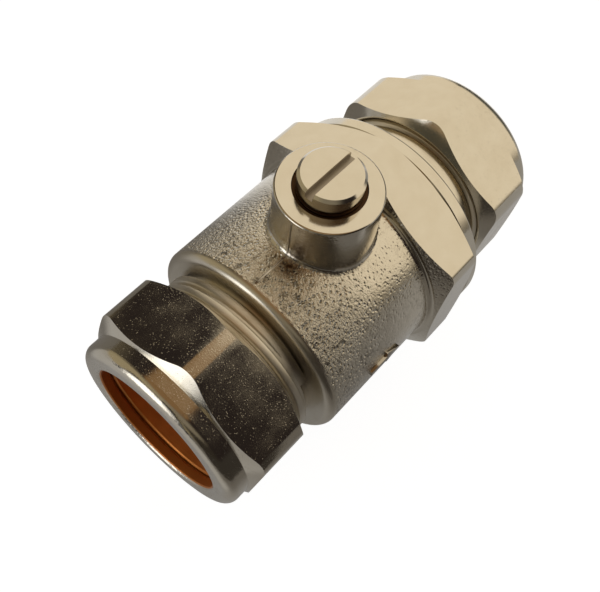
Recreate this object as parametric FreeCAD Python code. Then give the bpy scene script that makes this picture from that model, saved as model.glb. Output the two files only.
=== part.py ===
"""Isolating valve for 22 mm pipe: slotted quarter-turn ball valve with two compression ends.

The frame has its origin in the middle of the inlet pipe stop. +X runs along the pipe, from the
inlet to the outlet, and +Z runs along the stem, towards the screwdriver slot. Sizes are in mm.
"""
import math
import os

import FreeCAD
import Part

Vector = FreeCAD.Vector

# Pipe and waterway
PIPE_D = 22.0
PIPE_CLEARANCE = 0.15
WATERWAY_D = 16.5
THROAT_CLEARANCE = 0.25

# Compression end: thread, socket and mouth cone, counted from the pipe stop outwards
THREAD_D = 28.4
THREAD_PITCH = 1.814
THREAD_CLEARANCE = 0.05
SHOULDER_FACE = 1.5
RELIEF_LENGTH = 0.9
SOCKET_LENGTH = 9.6
CONE_LENGTH = 2.7
CONE_HALF_ANGLE = 30.0
THREAD_LEAD = 0.5

# Olive
OLIVE_LENGTH = 7.2
OLIVE_END_WALL = 0.5
OLIVE_MID_WALL = 1.25
OLIVE_LAND = 1.6
OLIVE_EDGE_BREAK = 0.25
OLIVE_GAP = 0.04

# Compression nut
NUT_LENGTH = 14.0
NUT_ACROSS_FLATS = 31.0
NUT_CORNER_RADIUS = 4.0
NUT_COLLAR_D = 29.9
NUT_COLLAR_LENGTH = 3.45
NUT_CHAMFER_ANGLE = 32.0
NUT_MOUTH_LAND = 1.65
NUT_MOUTH_CHAMFER = 0.4
NUT_OLIVE_ROOM = 0.5
NUT_THREAD_DEPTH = 8.4
NUT_RIM_RADIUS = 1.6
INLET_NUT_TURN = 9.19
OUTLET_NUT_TURN = 2.96

# Barrel, hexagon band and boss of the forged body
INLET_STOP_TO_BALL = 14.0
BARREL_D = 34.0
BARREL_EDGE_RADIUS = 1.35
BAND_ACROSS_FLATS = 36.6
BAND_CORNER_RADIUS = 2.5
BAND_START = 7.75
BAND_FOOT_RADIUS = 0.85
BAND_EDGE_DROP = 0.3
BAND_END = 15.95
BAND_CHAMFER_ANGLE = 30.0
BOSS_D = 15.0
BOSS_TOP = 25.12
BOSS_FOOT_RADIUS = 1.1
BOSS_EDGE_RADIUS = 0.3

# End connector that screws into the body and holds the outlet seat
CONNECTOR_THREAD_D = 29.0
CONNECTOR_CLEARANCE = 0.05
CONNECTOR_NOSE_LENGTH = 1.5
FLANGE_OVER_BAND = 0.1
FLANGE_LENGTH = 2.25
NECK_LENGTH = 1.2
FLANGE_EDGE_RADIUS = 0.35
FLANGE_SEAM = 0.3
CONNECTOR_SEAL_SECTION = 1.6
CONNECTOR_SEAL_SQUEEZE_GAP = 0.05
CONNECTOR_SEAL_ROOM = 1.25

# Ball and seats
BALL_D = 26.0
CHAMBER_CLEARANCE = 0.6
SEAT_WIDTH = 3.1
SEAT_LENGTH = 4.0
SEAT_STAND = 0.8
SEAT_GAP = 0.05
BALL_EDGE_RADIUS = 0.4

# Stem
STEM_D = 10.2
STEM_RUNNING_CLEARANCE = 0.05
STEM_HEAD_D = 9.2
STEM_HEAD_CHAMFER = 0.4
STEM_PROUD = 2.95
STEM_HEAD_SINK = 0.3
SLOT_WIDTH = 1.2
SLOT_DEPTH = 1.15
COLLAR_STEP = 0.9
COLLAR_HEIGHT = 1.9
COLLAR_ABOVE_BALL = 0.25
COLLAR_CLEARANCE = 0.1
TANG_LENGTH = 9.0
TANG_WIDTH = 4.0
TANG_DEPTH = 3.2
TANG_CLEARANCE = 0.08
WASHER_HEIGHT = 0.6
WASHER_GAP = 0.02
STEM_SEAL_SECTION = 1.14
STEM_SEAL_GAP = 0.03
STEM_GROOVE_WIDTH = 1.7
LOWER_SEAL_ABOVE_WASHER = 1.9
SEAL_SPACING = 3.0

# Sizes that follow from the ones above
socket_r = PIPE_D / 2 + PIPE_CLEARANCE
ball_r = BALL_D / 2
ball_bore_r = WATERWAY_D / 2
throat_r = ball_bore_r + THROAT_CLEARANCE
chamber_r = ball_r + CHAMBER_CLEARANCE
thread_r = THREAD_D / 2
thread_height = 0.64 * THREAD_PITCH
thread_mid_r = thread_r - thread_height / 2
relief_r = thread_r - thread_height
nut_thread_r = thread_r + THREAD_CLEARANCE
cone_rate = math.tan(math.radians(CONE_HALF_ANGLE))
spigot_end = SOCKET_LENGTH + CONE_LENGTH
cone_mouth_r = socket_r + CONE_LENGTH * cone_rate

olive_end_r = socket_r + OLIVE_END_WALL
olive_mid_r = socket_r + OLIVE_MID_WALL
olive_start = SOCKET_LENGTH + OLIVE_END_WALL / cone_rate + OLIVE_GAP
olive_end = olive_start + OLIVE_LENGTH
nut_cone_end = olive_end + OLIVE_END_WALL + OLIVE_GAP
nut_mouth = nut_cone_end + NUT_MOUTH_LAND
nut_back = nut_mouth - NUT_LENGTH

barrel_r = BARREL_D / 2
ball_x = INLET_STOP_TO_BALL
outlet_stop_x = ball_x + BAND_END + FLANGE_LENGTH + NECK_LENGTH - SHOULDER_FACE
seat_in_r = throat_r
seat_out_r = seat_in_r + SEAT_WIDTH
seat_face = ball_r + SEAT_GAP
seat_mouth = math.sqrt(seat_face ** 2 - seat_in_r ** 2)
seat_rim = math.sqrt(seat_face ** 2 - (seat_out_r - 0.25 * SEAT_WIDTH) ** 2)
seat_back = seat_rim + SEAT_LENGTH
pocket_mouth = seat_rim + SEAT_STAND

bore_r = STEM_D / 2 + STEM_RUNNING_CLEARANCE
stem_top = BOSS_TOP + STEM_PROUD
stem_collar_r = STEM_D / 2 + COLLAR_STEP
collar_pocket_r = stem_collar_r + COLLAR_CLEARANCE
collar_base = ball_r + COLLAR_ABOVE_BALL
washer_base = collar_base + COLLAR_HEIGHT + WASHER_GAP
pocket_roof = washer_base + WASHER_HEIGHT + WASHER_GAP
tang_base = ball_r - TANG_DEPTH
lower_seal_z = pocket_roof + LOWER_SEAL_ABOVE_WASHER
upper_seal_z = lower_seal_z + SEAL_SPACING

connector_thread_r = CONNECTOR_THREAD_D / 2
body_thread_r = connector_thread_r + CONNECTOR_CLEARANCE
flange_r = BAND_ACROSS_FLATS / 2 + FLANGE_OVER_BAND
connector_start = pocket_mouth
connector_thread_start = connector_start + CONNECTOR_NOSE_LENGTH
seal_room = CONNECTOR_SEAL_ROOM * CONNECTOR_SEAL_SECTION
seal_ring_r = body_thread_r - CONNECTOR_SEAL_SQUEEZE_GAP - CONNECTOR_SEAL_SECTION / 2
seal_groove_r = seal_ring_r - CONNECTOR_SEAL_SECTION / 2 - CONNECTOR_SEAL_SQUEEZE_GAP


def turned(outline):
    """Solid turned about the X axis from points (x, radius); a third and fourth number bend the side.

    A point written as (x, radius, mid x, mid radius) is reached by an arc through the middle point.
    """
    edges = []
    last = outline[-1]
    here = Vector(last[0], 0, last[1])
    for point in outline:
        there = Vector(point[0], 0, point[1])
        if len(point) == 4:
            middle = Vector(point[2], 0, point[3])
            edges.append(Part.Arc(here, middle, there).toShape())
        elif here.distanceToPoint(there) > 1e-7:
            edges.append(Part.makeLine(here, there))
        here = there
    face = Part.Face(Part.Wire(edges))
    return face.revolve(Vector(0, 0, 0), Vector(1, 0, 0), 360)


def quarter(x, radius, x_side, r_side, size):
    """Middle point of a quarter circle of the given size, towards the named sides of its centre."""
    reach = size * math.sqrt(0.5)
    return x + x_side * reach, radius + r_side * reach


def mirrored_to_inlet(solid):
    """Compression end built outwards along +X, turned round so that it points out of the inlet."""
    return solid.rotated(Vector(0, 0, 0), Vector(0, 0, 1), 180)


def placed_at_outlet(solid):
    """Compression end built outwards along +X, moved so that its pipe stop is the outlet's."""
    return solid.translated(Vector(outlet_stop_x, 0, 0))


def upright(radius, low, high):
    """Cylinder along the stem axis between two heights."""
    return Part.makeCylinder(radius, high - low, Vector(ball_x, 0, low), Vector(0, 0, 1))


def along_pipe(radius, low, high):
    """Cylinder along the pipe axis between two X positions."""
    return Part.makeCylinder(radius, high - low, Vector(low, 0, 0), Vector(1, 0, 0))


def hexagon_bar(across_flats, corner_radius, low, high):
    """Hexagonal bar along X with rounded long edges and one corner pointing up."""
    corner = across_flats / 2 / math.cos(math.radians(30))
    points = []
    for step in range(7):
        angle = math.radians(90 + 60 * step)
        points.append(Vector(low, corner * math.cos(angle), corner * math.sin(angle)))
    bar = Part.Face(Part.makePolygon(points)).extrude(Vector(high - low, 0, 0))
    long_edges = [edge for edge in bar.Edges if abs(edge.tangentAt(edge.FirstParameter).x) > 0.9]
    return bar.makeFillet(corner_radius, long_edges)


def spigot():
    """Threaded male end with its undercut and lead, on the pitch cylinder of the thread, uncut inside."""
    lead_r = thread_mid_r - THREAD_LEAD
    return turned([
        (0, 0),
        (0, relief_r),
        (SHOULDER_FACE + RELIEF_LENGTH, relief_r),
        (SHOULDER_FACE + RELIEF_LENGTH + thread_mid_r - relief_r, thread_mid_r),
        (spigot_end - THREAD_LEAD, thread_mid_r),
        (spigot_end, lead_r),
        (spigot_end, 0),
    ])


def pipe_socket():
    """Space that the pipe and the inner end of the olive take up in a spigot."""
    return turned([
        (0, 0),
        (0, socket_r),
        (SOCKET_LENGTH, socket_r),
        (spigot_end, cone_mouth_r),
        (spigot_end + 1, cone_mouth_r),
        (spigot_end + 1, 0),
    ])


def olive():
    """Soft copper ring with a cylindrical middle, two tapered ends and broken inner edges."""
    taper = (OLIVE_LENGTH - OLIVE_LAND) / 2
    return turned([
        (olive_start + OLIVE_EDGE_BREAK, socket_r),
        (olive_start, socket_r + OLIVE_EDGE_BREAK),
        (olive_start, olive_end_r),
        (olive_start + taper, olive_mid_r),
        (olive_end - taper, olive_mid_r),
        (olive_end, olive_end_r),
        (olive_end, socket_r + OLIVE_EDGE_BREAK),
        (olive_end - OLIVE_EDGE_BREAK, socket_r),
    ])


def compression_nut(turn):
    """Hexagon nut with a round outer collar, a cone that drives the olive, and a plain thread bore."""
    bar = hexagon_bar(NUT_ACROSS_FLATS, NUT_CORNER_RADIUS, nut_back, nut_mouth)
    collar_r = NUT_COLLAR_D / 2
    chamfer_rate = math.tan(math.radians(NUT_CHAMFER_ANGLE))
    big_r = NUT_ACROSS_FLATS / 2 / math.cos(math.radians(30))
    drop = (big_r - collar_r) * chamfer_rate
    collar_start = nut_mouth - NUT_COLLAR_LENGTH
    rim_mid = quarter(nut_mouth - NUT_RIM_RADIUS, collar_r - NUT_RIM_RADIUS, 1, 1, NUT_RIM_RADIUS)
    envelope = turned([
        (nut_back, 0),
        (nut_back, collar_r),
        (nut_back + drop, big_r),
        (collar_start - drop, big_r),
        (collar_start, collar_r),
        (nut_mouth - NUT_RIM_RADIUS, collar_r),
        (nut_mouth, collar_r - NUT_RIM_RADIUS, rim_mid[0], rim_mid[1]),
        (nut_mouth, 0),
    ])
    collar = along_pipe(collar_r, collar_start - drop, nut_mouth)
    outside = bar.fuse(collar).common(envelope)
    seat_r = olive_mid_r + NUT_OLIVE_ROOM
    seat_start = nut_cone_end - (seat_r - socket_r)
    inside = turned([
        (nut_back - 1, 0),
        (nut_back - 1, nut_thread_r + THREAD_LEAD + 1),
        (nut_back, nut_thread_r + THREAD_LEAD),
        (nut_back + THREAD_LEAD, nut_thread_r),
        (nut_back + NUT_THREAD_DEPTH, nut_thread_r),
        (nut_back + NUT_THREAD_DEPTH, seat_r),
        (seat_start, seat_r),
        (nut_cone_end, socket_r),
        (nut_mouth - NUT_MOUTH_CHAMFER, socket_r),
        (nut_mouth, socket_r + NUT_MOUTH_CHAMFER),
        (nut_mouth + 1, socket_r + NUT_MOUTH_CHAMFER + 1),
        (nut_mouth + 1, 0),
    ])
    return outside.cut(inside).rotated(Vector(0, 0, 0), Vector(1, 0, 0), turn)


def hexagon_band():
    """Hexagon of the forging: corners chamfered at both ends, hollow foot on the barrel."""
    low = ball_x + BAND_START
    high = ball_x + BAND_END
    bar = hexagon_bar(BAND_ACROSS_FLATS, BAND_CORNER_RADIUS, low, high)
    big_r = BAND_ACROSS_FLATS / 2 / math.cos(math.radians(30))
    near_r = BAND_ACROSS_FLATS / 2 - BAND_EDGE_DROP
    rate = math.tan(math.radians(BAND_CHAMFER_ANGLE))
    envelope = turned([
        (low, 0),
        (low, near_r),
        (low + (big_r - near_r) * rate, big_r),
        (high - (big_r - flange_r) * rate, big_r),
        (high, flange_r),
        (high, 0),
    ])
    foot_mid = quarter(low - BAND_FOOT_RADIUS, barrel_r + BAND_FOOT_RADIUS, 1, -1, BAND_FOOT_RADIUS)
    foot = turned([
        (low - BAND_FOOT_RADIUS, barrel_r - 1),
        (low - BAND_FOOT_RADIUS, barrel_r),
        (low, barrel_r + BAND_FOOT_RADIUS, foot_mid[0], foot_mid[1]),
        (low + BAND_EDGE_DROP, barrel_r + BAND_FOOT_RADIUS),
        (low + BAND_EDGE_DROP, barrel_r - 1),
    ])
    whole = bar.common(envelope)
    limit = hexagon_bar(BAND_ACROSS_FLATS, BAND_CORNER_RADIUS, low - BAND_FOOT_RADIUS, high)
    return whole.fuse(foot.common(limit))


def barrel_with_boss():
    """Round barrel with a softened inlet shoulder, and the stem boss blended into it."""
    face_x = -SHOULDER_FACE
    edge = BARREL_EDGE_RADIUS
    edge_mid = quarter(face_x + edge, barrel_r - edge, -1, 1, edge)
    barrel = turned([
        (face_x, 0),
        (face_x, barrel_r - edge),
        (face_x + edge, barrel_r, edge_mid[0], edge_mid[1]),
        (ball_x + (BAND_START + BAND_END) / 2, barrel_r),
        (ball_x + (BAND_START + BAND_END) / 2, 0),
    ])
    boss = upright(BOSS_D / 2, 0, BOSS_TOP)
    boss_rim = [edge for edge in boss.Edges if edge.BoundBox.ZMin > BOSS_TOP - 1e-6]
    joined = barrel.fuse(boss.makeFillet(BOSS_EDGE_RADIUS, boss_rim))
    foot = []
    for seam in joined.Edges:
        middle = seam.valueAt((seam.FirstParameter + seam.LastParameter) / 2)
        reach = math.hypot(middle.x - ball_x, middle.y)
        on_boss = abs(reach - BOSS_D / 2) < 1e-4
        on_barrel = abs(math.hypot(middle.y, middle.z) - barrel_r) < 1e-4
        if on_boss and on_barrel:
            foot.append(seam)
    return joined.makeFillet(BOSS_FOOT_RADIUS, foot)


def stem_chamber():
    """Bore of the boss and the wider pocket under it that keeps the stem from being pushed out."""
    bore = upright(bore_r, 0, BOSS_TOP + 1)
    pocket = upright(collar_pocket_r, 0, pocket_roof)
    return bore.fuse(pocket)


def ball_chamber():
    """Inside of the body: throat, inlet seat pocket, ball chamber and the bore for the connector."""
    return turned([
        (-1, 0),
        (-1, throat_r),
        (ball_x - seat_back - SEAT_GAP, throat_r),
        (ball_x - seat_back - SEAT_GAP, seat_out_r + SEAT_GAP),
        (ball_x - pocket_mouth, seat_out_r + SEAT_GAP),
        (ball_x - pocket_mouth, chamber_r),
        (ball_x + connector_thread_start - SEAT_GAP, chamber_r),
        (ball_x + connector_thread_start - SEAT_GAP, body_thread_r),
        (ball_x + BAND_END + 1, body_thread_r),
        (ball_x + BAND_END + 1, 0),
    ])


def valve_body():
    """Forged body: inlet spigot, barrel, stem boss and hexagon band in one piece, hollow for the ball."""
    solid = barrel_with_boss().fuse([hexagon_band(), mirrored_to_inlet(spigot())])
    solid = solid.cut(mirrored_to_inlet(pipe_socket()))
    solid = solid.cut(ball_chamber())
    return solid.cut(stem_chamber())


def end_connector():
    """Screwed-in outlet end: seat pocket, nose, thread, seal groove, round flange and outlet spigot."""
    low = ball_x + connector_start
    flange_start = ball_x + BAND_END
    flange_end = flange_start + FLANGE_LENGTH
    edge = FLANGE_EDGE_RADIUS
    edge_mid = quarter(flange_end - edge, flange_r - edge, 1, 1, edge)
    plug = turned([
        (low, 0),
        (low, chamber_r - CONNECTOR_CLEARANCE),
        (ball_x + connector_thread_start, chamber_r - CONNECTOR_CLEARANCE),
        (ball_x + connector_thread_start, connector_thread_r),
        (flange_start - seal_room, connector_thread_r),
        (flange_start - seal_room, seal_groove_r),
        (flange_start, seal_groove_r),
        (flange_start, flange_r - FLANGE_SEAM),
        (flange_start + FLANGE_SEAM, flange_r),
        (flange_end - edge, flange_r),
        (flange_end, flange_r - edge, edge_mid[0], edge_mid[1]),
        (flange_end, 0),
    ])
    solid = plug.fuse(placed_at_outlet(spigot()))
    passage = turned([
        (low - 1, 0),
        (low - 1, seat_out_r + SEAT_GAP),
        (ball_x + seat_back + SEAT_GAP, seat_out_r + SEAT_GAP),
        (ball_x + seat_back + SEAT_GAP, throat_r),
        (outlet_stop_x + 1, throat_r),
        (outlet_stop_x + 1, 0),
    ])
    return solid.cut(passage).cut(placed_at_outlet(pipe_socket()))


def seat_ring():
    """Seal ring on the outlet side of the ball, hollowed to the ball's own curve, about the ball centre."""
    middle_angle = (math.asin(seat_in_r / seat_face) + math.acos(seat_rim / seat_face)) / 2
    rim_r = seat_out_r - 0.25 * SEAT_WIDTH
    return turned([
        (seat_rim, rim_r),
        (seat_rim, seat_out_r),
        (seat_back, seat_out_r),
        (seat_back, seat_in_r),
        (seat_mouth, seat_in_r),
        (seat_rim, rim_r, seat_face * math.cos(middle_angle), seat_face * math.sin(middle_angle)),
    ])


def ball():
    """Ball with the waterway through it and the cross slot that the stem's tang turns."""
    sphere = Part.makeSphere(ball_r, Vector(ball_x, 0, 0))
    bored = sphere.cut(along_pipe(ball_bore_r, ball_x - ball_r - 1, ball_x + ball_r + 1))
    mouths = [edge for edge in bored.Edges if abs(edge.BoundBox.YLength - WATERWAY_D) < 0.01]
    bored = bored.makeFillet(BALL_EDGE_RADIUS, mouths)
    width = TANG_WIDTH + 2 * TANG_CLEARANCE
    slot_base = tang_base - TANG_CLEARANCE
    corner = Vector(ball_x - width / 2, -ball_r - 1, slot_base)
    return bored.cut(Part.makeBox(width, BALL_D + 2, ball_r, corner))


def stem():
    """Slotted spindle: head, two seal grooves, thrust collar and the tang that turns the ball."""
    collar_top = collar_base + COLLAR_HEIGHT
    shaft_top = BOSS_TOP - STEM_HEAD_SINK
    solid = upright(stem_collar_r, collar_base, collar_top)
    solid = solid.fuse(upright(STEM_D / 2, collar_top, shaft_top))
    head = upright(STEM_HEAD_D / 2, shaft_top, stem_top)
    top_edges = [edge for edge in head.Edges if edge.BoundBox.ZMin > stem_top - 1e-6]
    solid = solid.fuse(head.makeChamfer(STEM_HEAD_CHAMFER, top_edges))
    groove_r = bore_r - 2 * STEM_SEAL_GAP - STEM_SEAL_SECTION
    for height in (lower_seal_z, upper_seal_z):
        low = height - STEM_GROOVE_WIDTH / 2
        high = height + STEM_GROOVE_WIDTH / 2
        ring = upright(STEM_D, low, high).cut(upright(groove_r, low, high))
        solid = solid.cut(ring)
    tang_corner = Vector(ball_x - TANG_WIDTH / 2, -TANG_LENGTH / 2, tang_base)
    solid = solid.fuse(Part.makeBox(TANG_WIDTH, TANG_LENGTH, collar_base - tang_base, tang_corner))
    slot_corner = Vector(ball_x - STEM_D, -SLOT_WIDTH / 2, stem_top - SLOT_DEPTH)
    return solid.cut(Part.makeBox(2 * STEM_D, SLOT_WIDTH, SLOT_DEPTH + 1, slot_corner))


def stem_seal(height):
    """Rubber ring in one of the stem's grooves, squeezed against the boss bore."""
    ring_r = bore_r - STEM_SEAL_GAP - STEM_SEAL_SECTION / 2
    return Part.makeTorus(ring_r, STEM_SEAL_SECTION / 2, Vector(ball_x, 0, height), Vector(0, 0, 1))


def thrust_washer():
    """Slippery washer between the stem's collar and the roof of its pocket."""
    outer = upright(stem_collar_r, washer_base, washer_base + WASHER_HEIGHT)
    return outer.cut(upright(bore_r, washer_base, washer_base + WASHER_HEIGHT))


def connector_seal():
    """Rubber ring under the connector's flange, between its groove and the body."""
    middle = Vector(ball_x + BAND_END - seal_room / 2, 0, 0)
    return Part.makeTorus(seal_ring_r, CONNECTOR_SEAL_SECTION / 2, middle, Vector(1, 0, 0))


def all_pieces():
    """Every piece of the valve under its name, in place, with the valve open."""
    outlet_seat = seat_ring().translated(Vector(ball_x, 0, 0))
    inlet_seat = mirrored_to_inlet(seat_ring()).translated(Vector(ball_x, 0, 0))
    return {
        "valve_body": valve_body(),
        "end_connector": end_connector(),
        "ball": ball(),
        "inlet_seat": inlet_seat,
        "outlet_seat": outlet_seat,
        "stem": stem(),
        "lower_stem_seal": stem_seal(lower_seal_z),
        "upper_stem_seal": stem_seal(upper_seal_z),
        "stem_washer": thrust_washer(),
        "connector_seal": connector_seal(),
        "inlet_nut": mirrored_to_inlet(compression_nut(-INLET_NUT_TURN)),
        "inlet_olive": mirrored_to_inlet(olive()),
        "outlet_nut": placed_at_outlet(compression_nut(OUTLET_NUT_TURN)),
        "outlet_olive": placed_at_outlet(olive()),
    }


os.makedirs("parts", exist_ok=True)
for name, shape in all_pieces().items():
    shape.exportStep("parts/" + name + ".step")
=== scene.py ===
"""Looks of an isolating valve: plated and bare metal, screw threads, forging marks and a light tent."""

import math

import bmesh
import bpy
import numpy as np
from mathutils import Matrix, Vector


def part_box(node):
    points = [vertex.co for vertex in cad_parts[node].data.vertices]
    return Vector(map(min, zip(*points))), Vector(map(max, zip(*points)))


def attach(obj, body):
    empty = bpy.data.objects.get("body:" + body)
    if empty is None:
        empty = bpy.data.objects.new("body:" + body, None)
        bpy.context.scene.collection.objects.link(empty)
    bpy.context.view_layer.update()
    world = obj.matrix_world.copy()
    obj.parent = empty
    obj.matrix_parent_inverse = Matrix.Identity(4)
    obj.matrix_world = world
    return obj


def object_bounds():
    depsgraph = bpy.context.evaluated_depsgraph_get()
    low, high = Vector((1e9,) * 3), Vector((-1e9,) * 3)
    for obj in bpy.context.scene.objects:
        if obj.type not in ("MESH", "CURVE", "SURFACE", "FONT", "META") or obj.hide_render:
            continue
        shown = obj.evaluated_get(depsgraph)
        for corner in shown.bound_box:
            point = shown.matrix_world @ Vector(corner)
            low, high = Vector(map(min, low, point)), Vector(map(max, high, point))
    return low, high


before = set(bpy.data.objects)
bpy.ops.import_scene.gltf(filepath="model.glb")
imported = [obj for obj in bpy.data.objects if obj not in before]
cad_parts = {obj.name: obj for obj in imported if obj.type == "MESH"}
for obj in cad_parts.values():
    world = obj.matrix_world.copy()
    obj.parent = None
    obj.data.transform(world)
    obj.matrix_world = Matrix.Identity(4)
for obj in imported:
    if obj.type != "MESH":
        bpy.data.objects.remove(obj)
CAD_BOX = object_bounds()

bl_info = {
    "name": "Isolating valve",
    "version": (1, 0, 0),
    "blender": (4, 5, 0),
    "location": "View3D > Sidebar > Valve",
    "description": "Dresses the solids of an isolating valve for pipe and lights them in a tent",
    "category": "Object",
}

MM = 0.001
WHITE = (1, 1, 1, 1)
# Bores this close to the pipe axis stay unplated
BARE_RADIUS = 11.3 * MM
# Settings that many nodes share
TIMES = {"operation": "MULTIPLY"}
TIMES_PLUS = {"operation": "MULTIPLY_ADD"}
LARGER = {"operation": "MAXIMUM"}
ALONG = {"operation": "DOT_PRODUCT"}
LENGTH = {"operation": "LENGTH"}
UNSIGNED = {"operation": "ABSOLUTE"}
DISTANCE = {"operation": "DISTANCE"}
SOFT = {"interpolation_type": "SMOOTHSTEP"}
COLOUR = {"data_type": "RGBA"}
# Ends of the solids that the finishes and threads are placed by
OUTLET_NUT_LOW, OUTLET_NUT_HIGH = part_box("outlet_nut")
INLET_NUT_LOW, INLET_NUT_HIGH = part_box("inlet_nut")
BODY_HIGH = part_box("valve_body")[1]
STEM_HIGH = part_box("stem")[1]
CONNECTOR_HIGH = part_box("end_connector")[1]
# Outlet pipe stop, and where a crest passes the top of the outlet spigot, along the pipe
OUTLET_STOP = CONNECTOR_HIGH[0] - 12.3 * MM
OUTLET_PHASE = OUTLET_STOP + 4.62 * MM


class ValveSizes(bpy.types.PropertyGroup):
    """Sizes of what is added to the solids."""

    thread_pitch: bpy.props.FloatProperty(
        name="Thread pitch", description="Advance of the compression thread in one turn",
        default=1.814 * MM, unit="LENGTH", precision=6)
    thread_crest: bpy.props.FloatProperty(
        name="Thread crest radius", description="Radius of the thread's crest on the spigots",
        default=14.2 * MM, unit="LENGTH", precision=6)
    thread_middle: bpy.props.FloatProperty(
        name="Thread middle radius", description="Radius of the spigot's plain cylinder under the thread",
        default=13.62 * MM, unit="LENGTH", precision=6)
    nut_bore: bpy.props.FloatProperty(
        name="Nut bore radius", description="Radius of the plain bore that carries the nut's thread",
        default=14.25 * MM, unit="LENGTH", precision=6)
    thread_phase: bpy.props.FloatProperty(
        name="Thread phase", description="Where a crest passes the top of the inlet spigot, along the pipe",
        default=-4.62 * MM, unit="LENGTH", precision=6)
    barrel_radius: bpy.props.FloatProperty(
        name="Barrel radius", description="Radius of the round barrel of the body",
        default=17.0 * MM, unit="LENGTH", precision=6)
    stem_place: bpy.props.FloatProperty(
        name="Stem place", description="Distance of the stem axis from the inlet pipe stop",
        default=14.0 * MM, unit="LENGTH", precision=6)
    boss_radius: bpy.props.FloatProperty(
        name="Boss radius", description="Radius of the boss around the stem",
        default=7.5 * MM, unit="LENGTH", precision=6)
    boss_foot: bpy.props.FloatProperty(
        name="Boss foot radius", description="Radius of the hollow curve between the boss and the barrel",
        default=1.1 * MM, unit="LENGTH", precision=6)
    seam_width: bpy.props.FloatProperty(
        name="Parting seam width", description="Width of the thin ridge where the forging dies met",
        default=0.34 * MM, unit="LENGTH", precision=6)
    seam_height: bpy.props.FloatProperty(
        name="Parting seam height", description="Height of that ridge over the forging",
        default=0.07 * MM, unit="LENGTH", precision=6)
    arrow_length: bpy.props.FloatProperty(
        name="Arrow length", description="Length of the raised flow arrow",
        default=6.5 * MM, unit="LENGTH", precision=6)
    arrow_height: bpy.props.FloatProperty(
        name="Arrow height", description="Height of the raised flow arrow over the barrel",
        default=0.4 * MM, unit="LENGTH", precision=6)


class ValveColours(bpy.types.PropertyGroup):
    """Colours of the finishes, as sRGB hex values."""

    nickel: bpy.props.StringProperty(
        name="Nickel", description="Bright nickel plating", default="#D9D3C6")
    brass: bpy.props.StringProperty(
        name="Bare brass", description="Unplated brass inside the bores", default="#DB8A3E")
    dull_nickel: bpy.props.StringProperty(
        name="Dull nickel", description="Plating where handling has dulled it", default="#CFC6B4")
    dark_brass: bpy.props.StringProperty(
        name="Dark brass", description="Bare brass of the nuts' bores, browned by oil", default="#C07838")
    copper: bpy.props.StringProperty(
        name="Copper", description="Soft copper of the olives", default="#F2A052")
    tarnish: bpy.props.StringProperty(
        name="Tarnish", description="Copper where it has browned", default="#C67C38")
    chrome: bpy.props.StringProperty(
        name="Chrome", description="Hard chrome on the ball", default="#E4E5E6")
    seat: bpy.props.StringProperty(
        name="Seat plastic", description="Waxy white plastic of the seats and washer", default="#EFEDE6")
    seat_cloud: bpy.props.StringProperty(
        name="Seat cloud", description="Greyer clouds in that plastic", default="#E2E0D8")
    rubber: bpy.props.StringProperty(
        name="Rubber", description="Black rubber of the sealing rings", default="#17171A")
    # The dark specks of this colour are dirt and also painted shade, standing in partly for the dark flecks
    # of the broken reflection.
    grime_and_shade: bpy.props.StringProperty(
        name="Grime", description="Dark residue in the pits of the forging", default="#2C2620")
    # This brown is a real smudge at the foot of the boss, and painted shade in the slot, in the gap round the
    # stem's head, and in patches on the seam and arrow.
    stain_and_shade: bpy.props.StringProperty(
        name="Stain", description="Brown residue at the foot of the boss and in the slot", default="#4E3A28")


class ValveStage(bpy.types.PropertyGroup):
    """Camera and light of the studio."""

    camera_place: bpy.props.FloatVectorProperty(
        name="Camera place", description="Position of the camera", size=3, subtype="TRANSLATION",
        default=(-40.61 * MM, -33.65 * MM, 111.65 * MM), precision=5)
    camera_azimuth: bpy.props.FloatProperty(
        name="Camera azimuth", description="Turn of the camera about the stem axis", subtype="ANGLE",
        default=math.radians(-57.07))
    camera_elevation: bpy.props.FloatProperty(
        name="Camera elevation", description="Height angle of the camera", subtype="ANGLE",
        default=math.radians(61.31))
    camera_roll: bpy.props.FloatProperty(
        name="Camera roll", description="Turn of the picture about the line of sight", subtype="ANGLE",
        default=math.radians(9.83))
    lens: bpy.props.FloatProperty(
        name="Lens", description="Focal length on a 36 mm wide sensor, in millimetres", default=49.04)
    tent_radius: bpy.props.FloatProperty(
        name="Tent radius", description="Radius of the light tent", default=0.9, unit="LENGTH")
    tent_warm: bpy.props.StringProperty(
        name="Tent cloth", description="Lit cloth at the far end of the tent", default="#FBEED6")
    tent_brown: bpy.props.StringProperty(
        name="Tent roof", description="Brown cloth overhead", default="#8C6E4C")
    tent_wall: bpy.props.StringProperty(
        name="Tent wall", description="Beige cloth behind the inlet end, on the far side", default="#A89C80")
    tent_hem: bpy.props.StringProperty(
        name="Tent hem", description="Shaded foot of the lit cloth, on the near side", default="#6E675A")
    tent_low: bpy.props.StringProperty(
        name="Tent shade", description="Dark olive cloth low behind the inlet end", default="#35302A")
    tent_rear: bpy.props.StringProperty(
        name="Tent rear", description="Lighter cloth high up behind the inlet end", default="#8A8272")
    tent_end: bpy.props.StringProperty(
        name="Tent end", description="Grey opening at the outlet end, which darkens the far rims",
        default="#5C5C56")
    tent_dark: bpy.props.StringProperty(
        name="Tent curtain", description="Dark cloth around the camera and at the far foot of the lit cloth",
        default="#2A2422")
    card_strength: bpy.props.FloatProperty(
        name="White card strength", description="Brightness of the lit white card at the inlet end",
        default=2.2)
    flag_dark: bpy.props.StringProperty(
        name="Dark flag", description="Dark strip on the table that shades the lower edges",
        default="#3A3632")
    table_matt: bpy.props.StringProperty(
        name="Table", description="Matt grey of the table, on which the shadow falls", default="#8E9198")
    table_glow: bpy.props.FloatProperty(
        name="Table glow", description="Glow that brings the table up to white for the camera", default=0.93)
    # Painted light: the table's far side glows this much, seen only in the metal.
    table_mirrored: bpy.props.FloatProperty(
        name="Mirrored glow", description="Glow of the table's lit far side as the metal mirrors it",
        default=0.75)


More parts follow.
